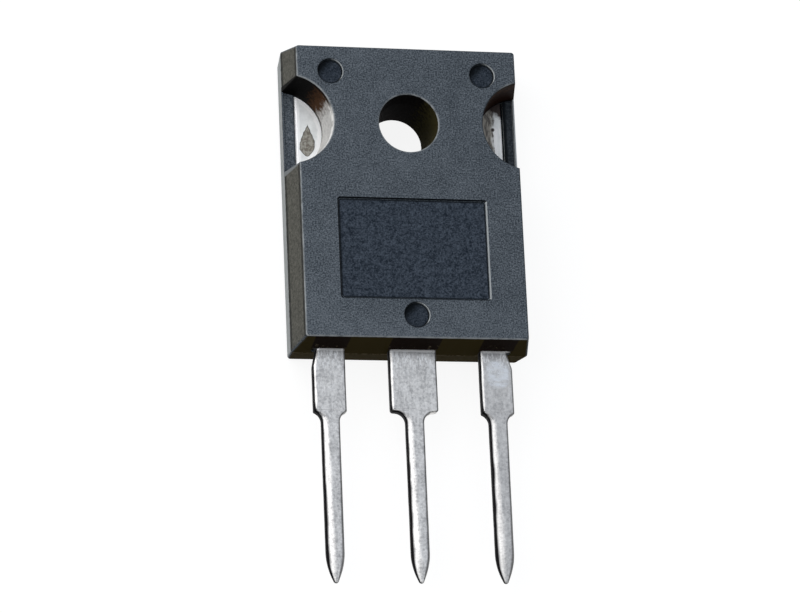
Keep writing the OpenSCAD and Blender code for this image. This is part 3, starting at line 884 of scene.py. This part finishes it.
def newObject(name, mesh):
    obj = bpy.data.objects.new(name, mesh)
    bpy.context.scene.collection.objects.link(obj)
    return obj


# the node's own root, in millimetres: a merged copy of its mesh, cut off inside the moulding
def rootMesh(node, cut):
    work = bmesh.new()
    work.from_mesh(node.data)
    work.transform(Matrix.Scale(1000, 4))
    bmesh.ops.remove_doubles(work, verts=work.verts, dist=rootMergeWithin)
    bmesh.ops.bisect_plane(work, geom=work.verts[:] + work.edges[:] + work.faces[:],
                           plane_co=(0, -cut, 0), plane_no=(0, -1, 0), clear_outer=True)
    bmesh.ops.holes_fill(work, edges=[e for e in work.edges if e.is_boundary])
    bmesh.ops.recalc_face_normals(work, faces=work.faces)
    mesh = bpy.data.meshes.new("root")
    work.to_mesh(mesh)
    work.free()
    return mesh


def makeLead(name, centreX, width, pinchLeft, pinchRight, slot, tree):
    draft = newObject("leadDraft", bpy.data.meshes.new("leadDraft"))
    grow = draft.modifiers.new("lead", "NODES")
    grow.node_group = tree
    setInput(grow, "centreX", centreX)
    setInput(grow, "wideWidth", width)
    setInput(grow, "pinchLeft", pinchLeft)
    setInput(grow, "pinchRight", pinchRight)
    setInput(grow, "finish", finishes["tin"])
    leadMesh = evaluatedMesh(draft)
    work = bmesh.new()
    work.from_mesh(leadMesh)
    bmesh.ops.recalc_face_normals(work, faces=work.faces)
    work.to_mesh(leadMesh)
    work.free()
    bpy.data.objects.remove(draft)

    leadPart = newObject("leadPart", leadMesh)
    piece = newObject(name + "_dipped", rootMesh(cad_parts[name], rootCut))
    weld = piece.modifiers.new("weld", "BOOLEAN")
    weld.operation = "UNION"
    weld.solver = "EXACT"
    weld.object = leadPart
    mesh = evaluatedMesh(piece)
    piece.modifiers.remove(weld)
    piece.data = mesh
    mesh.name = piece.name
    bpy.data.objects.remove(leadPart)

    work = bmesh.new()
    work.from_mesh(mesh)
    loose = sum(1 for e in work.edges if not e.is_manifold)
    volume = work.calc_volume(signed=True)
    mesh.materials.clear()
    for finish in (["plating", "tin"] if slot == "tab" else ["tin"]):
        mesh.materials.append(finishes[finish])
    for face in work.faces:
        outside = face.calc_center_median().y < -rootCut
        face.smooth = outside
        face.material_index = 1 if outside and slot == "tab" else 0
    work.transform(Matrix.Scale(mm, 4))
    work.to_mesh(mesh)
    work.free()
    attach(piece, "root")
    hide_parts(name)
    print("lead:", piece.name, len(mesh.polygons), "faces,", loose, "open edges,",
          round(volume, 2), "mm3")


tree = leadTree(leadSizes, leadEdges, leadSteps)
for name, settings in leads.items():
    makeLead(name, *settings, tree)
print("stage: leads")


# floor and light
studio = {
    "floorSize": 3.0,
    "floorZ": -0.01 * mm,  # just below the metal back
    "floorColor": (0.17, 0.17, 0.17),
    "floorGlow": 0.88,
    "skyColor": (0.93, 0.98, 1.05),
    "skyBright": 0.78,
    "skyDark": 0.10,  # towards the leads' end
    "skyLow": 0.5,  # the share of it left at the horizon
    "rightDim": 0.6,  # how much darker the sky is on the far right
    "lampAim": (0, -12 * mm, 0),
    # the pairs below say where a change starts and where it is complete
    "skyAlong": (-0.65, 0.15),
    "skyHeight": (0.05, 0.5),
    "skyRight": (0.45, 0.85),
}


def makeFloor(c):
    half = c["floorSize"] / 2
    mesh = bpy.data.meshes.new("floor")
    corners = [(-half, -half, 0), (half, -half, 0), (half, half, 0), (-half, half, 0)]
    mesh.from_pydata(corners, [], [(0, 1, 2, 3)])
    floor = newObject("floor", mesh)
    floor.location.z = c["floorZ"]
    material, tree, shader = newMaterial("white floor")
    shader.inputs["Base Color"].default_value = (*c["floorColor"], 1)
    shader.inputs["Roughness"].default_value = 1
    shader.inputs["Specular IOR Level"].default_value = 0
    path = tree.nodes.new("ShaderNodeLightPath")
    seen = Num(tree, path.outputs["Is Camera Ray"])
    for kind in ("Is Glossy Ray", "Is Transmission Ray"):
        seen = seen.atLeast(Num(tree, path.outputs[kind]))
    shader.inputs["Emission Color"].default_value = (1, 1, 1, 1)
    plug(tree, seen * c["floorGlow"], shader.inputs["Emission Strength"])
    mesh.materials.append(material)


def makeWorld(c):
    world = bpy.data.worlds.new("studio")
    bpy.context.scene.world = world
    world.use_nodes = True
    tree = world.node_tree
    background = tree.nodes["Background"]
    background.inputs["Color"].default_value = (*c["skyColor"], 1)
    direction = splitVector(tree, tree.nodes.new("ShaderNodeTexCoord").outputs["Generated"])
    bright = ramp(tree, direction[1], *c["skyAlong"], smooth=True)
    bright = bright * (ramp(tree, direction[2], *c["skyHeight"]) * (1 - c["skyLow"]) + c["skyLow"])
    bright = bright * (1 - ramp(tree, direction[0], *c["skyRight"], smooth=True) * c["rightDim"])
    plug(tree, bright * (c["skyBright"] - c["skyDark"]) + c["skyDark"], background.inputs["Strength"])


lamps = {
    # name: (place, size, level, color)
    "leftWindow": ((-0.28, 0.11, 0.24), (0.44, 0.50), 0.74, (1.0, 0.98, 0.95)),
    "frontCard": ((0.05, -0.23, 0.28), (0.16, 0.16), 0.12, (1.0, 1.0, 1.0)),
}


def makeLamp(name, place, size, level, color):
    data = bpy.data.lights.new(name, "AREA")
    data.shape = "RECTANGLE"
    data.size, data.size_y = size
    data.energy = level * math.pi ** 2 * Vector(place).length_squared
    data.color = color
    lamp = newObject(name, data)
    lamp.location = place
    aim = Vector(studio["lampAim"])
    lamp.rotation_euler = (Vector(place) - aim).to_track_quat("Z", "Y").to_euler()


makeFloor(studio)
makeWorld(studio)
for name, settings in lamps.items():
    makeLamp(name, *settings)
view = bpy.context.scene.view_settings
view.view_transform = "Standard"
print("stage: studio")
